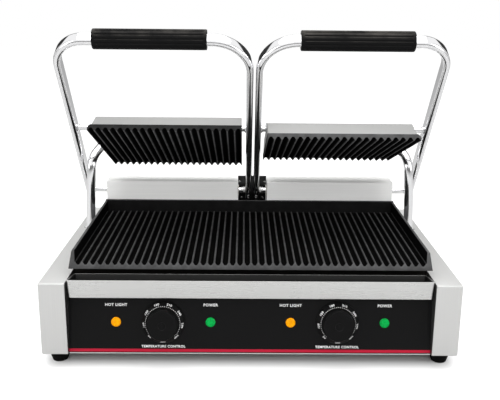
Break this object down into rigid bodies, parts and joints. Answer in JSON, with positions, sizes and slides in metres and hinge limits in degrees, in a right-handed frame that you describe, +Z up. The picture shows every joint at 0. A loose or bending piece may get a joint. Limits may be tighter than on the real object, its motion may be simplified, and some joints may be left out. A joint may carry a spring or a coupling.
{
  "type": "double contact grill",
  "caption": "Countertop contact grill with two sprung, ribbed upper plates on tube frames over one ribbed cast plate, with thermostat dials, pilot lamps and a grease tray.",
  "frame": {"origin": "middle of the footprint's bounding box, on the floor that the four feet stand on", "axes": "+Z up, +X to the right along the width as seen from the front, +Y to the rear; the control panel faces -Y"},
  "size_m": [0.57, 0.3698, 0.4538],
  "materials": {
    "brushed_stainless": "brushed",
    "chrome": "polished",
    "seasoned_cast_iron": "seasoned",
    "black_painted_steel": "satin",
    "black_panel_overlay": "fine matt film",
    "red_stripe": "film",
    "black_plastic": "moulded, satin",
    "black_rubber": "matt",
    "amber_lens": "clear tinted",
    "green_lens": "clear tinted",
    "heater_sheath": "heat-darkened sheath",
    "zinc_steel": "zinc plated",
    "nylon": "moulded",
    "ceramic": "glazed ceramic",
    "silicone_sleeve": "matt sleeve"
  },
  "bodies": {
    "grill_body": {"bottom_cover": "brushed_stainless", "cable_gland": "black_plastic", "centre_bracket": "black_painted_steel", "chassis": "brushed_stainless", "front_panel": "black_painted_steel", "lower_plate": "seasoned_cast_iron", "panel_overlay": "black_panel_overlay", "panel_stripe": "red_stripe", "terminal_block": "ceramic", "tray_shelf": "brushed_stainless", "left_cheek": "brushed_stainless", "right_cheek": "brushed_stainless", "left_conduit": "chrome", "right_conduit": "chrome", "left_conduit_flange": "chrome", "right_conduit_flange": "chrome", "left_element_clamp": "zinc_steel", "right_element_clamp": "zinc_steel", "left_front_foot": "black_rubber", "right_front_foot": "black_rubber", "left_rear_foot": "black_rubber", "right_rear_foot": "black_rubber", "left_heat_lamp": "amber_lens", "right_heat_lamp": "amber_lens", "left_power_lamp": "green_lens", "right_power_lamp": "green_lens", "left_inner_bush": "nylon", "right_inner_bush": "nylon", "left_outer_bush": "nylon", "right_outer_bush": "nylon", "left_lower_element": "heater_sheath", "right_lower_element": "heater_sheath", "left_spring_box": "brushed_stainless", "right_spring_box": "brushed_stainless", "left_thermostat": "zinc_steel", "right_thermostat": "zinc_steel", "left_torsion_spring": "zinc_steel", "right_torsion_spring": "zinc_steel"},
    "left_lid": {"left_frame_tube": "chrome", "left_grip": "black_plastic", "left_hinge_shaft": "chrome", "left_pivot_rod": "chrome", "left_heater_lead": "silicone_sleeve"},
    "right_lid": {"right_frame_tube": "chrome", "right_grip": "black_plastic", "right_hinge_shaft": "chrome", "right_pivot_rod": "chrome", "right_heater_lead": "silicone_sleeve"},
    "left_plate": {"left_upper_plate": "seasoned_cast_iron", "left_hood": "brushed_stainless", "left_hanger": "zinc_steel", "left_upper_element": "heater_sheath"},
    "right_plate": {"right_upper_plate": "seasoned_cast_iron", "right_hood": "brushed_stainless", "right_hanger": "zinc_steel", "right_upper_element": "heater_sheath"},
    "left_dial": {"left_dial": "black_plastic"},
    "right_dial": {"right_dial": "black_plastic"},
    "grease_tray": {"grease_tray": "brushed_stainless"}
  },
  "joints": [
    {"name": "left_lid_hinge", "type": "hinge", "parent": "grill_body", "child": "left_lid", "pos_m": [-0.14, 0.10758, 0.176], "axis": [1, 0, 0], "range_deg": [0, 53.65], "stiffness_Nm_per_rad": 2.6, "springref_deg": -72.77, "deforming": ["left_heater_lead"]},
    {"name": "right_lid_hinge", "type": "hinge", "parent": "grill_body", "child": "right_lid", "pos_m": [0.14, 0.10758, 0.176], "axis": [1, 0, 0], "range_deg": [0, 53.65], "stiffness_Nm_per_rad": 2.6, "springref_deg": -72.77, "deforming": ["right_heater_lead"]},
    {"name": "left_plate_pivot", "type": "hinge", "parent": "left_lid", "child": "left_plate", "pos_m": [-0.12, 0.02549, 0.2977], "axis": [1, 0, 0], "range_deg": [-27.9, 0]},
    {"name": "right_plate_pivot", "type": "hinge", "parent": "right_lid", "child": "right_plate", "pos_m": [0.13, 0.02549, 0.2977], "axis": [1, 0, 0], "range_deg": [-33.2, 0]},
    {"name": "left_dial_turn", "type": "hinge", "parent": "grill_body", "child": "left_dial", "pos_m": [-0.1195, -0.16122, 0.0632], "axis": [0, 0.9878, -0.1555], "range_deg": [0, 270]},
    {"name": "right_dial_turn", "type": "hinge", "parent": "grill_body", "child": "right_dial", "pos_m": [0.1195, -0.16122, 0.0632], "axis": [0, 0.9878, -0.1555], "range_deg": [0, 270]},
    {"name": "grease_tray_slide", "type": "slide", "parent": "grill_body", "child": "grease_tray", "axis": [0, -1, 0], "range_m": [0, 0.06]}
  ],
  "couplings": [
    {"joint": "left_plate_pivot", "follows": "left_lid_hinge", "ratio": -0.51917},
    {"joint": "right_plate_pivot", "follows": "right_lid_hinge", "ratio": -0.61795}
  ]
}
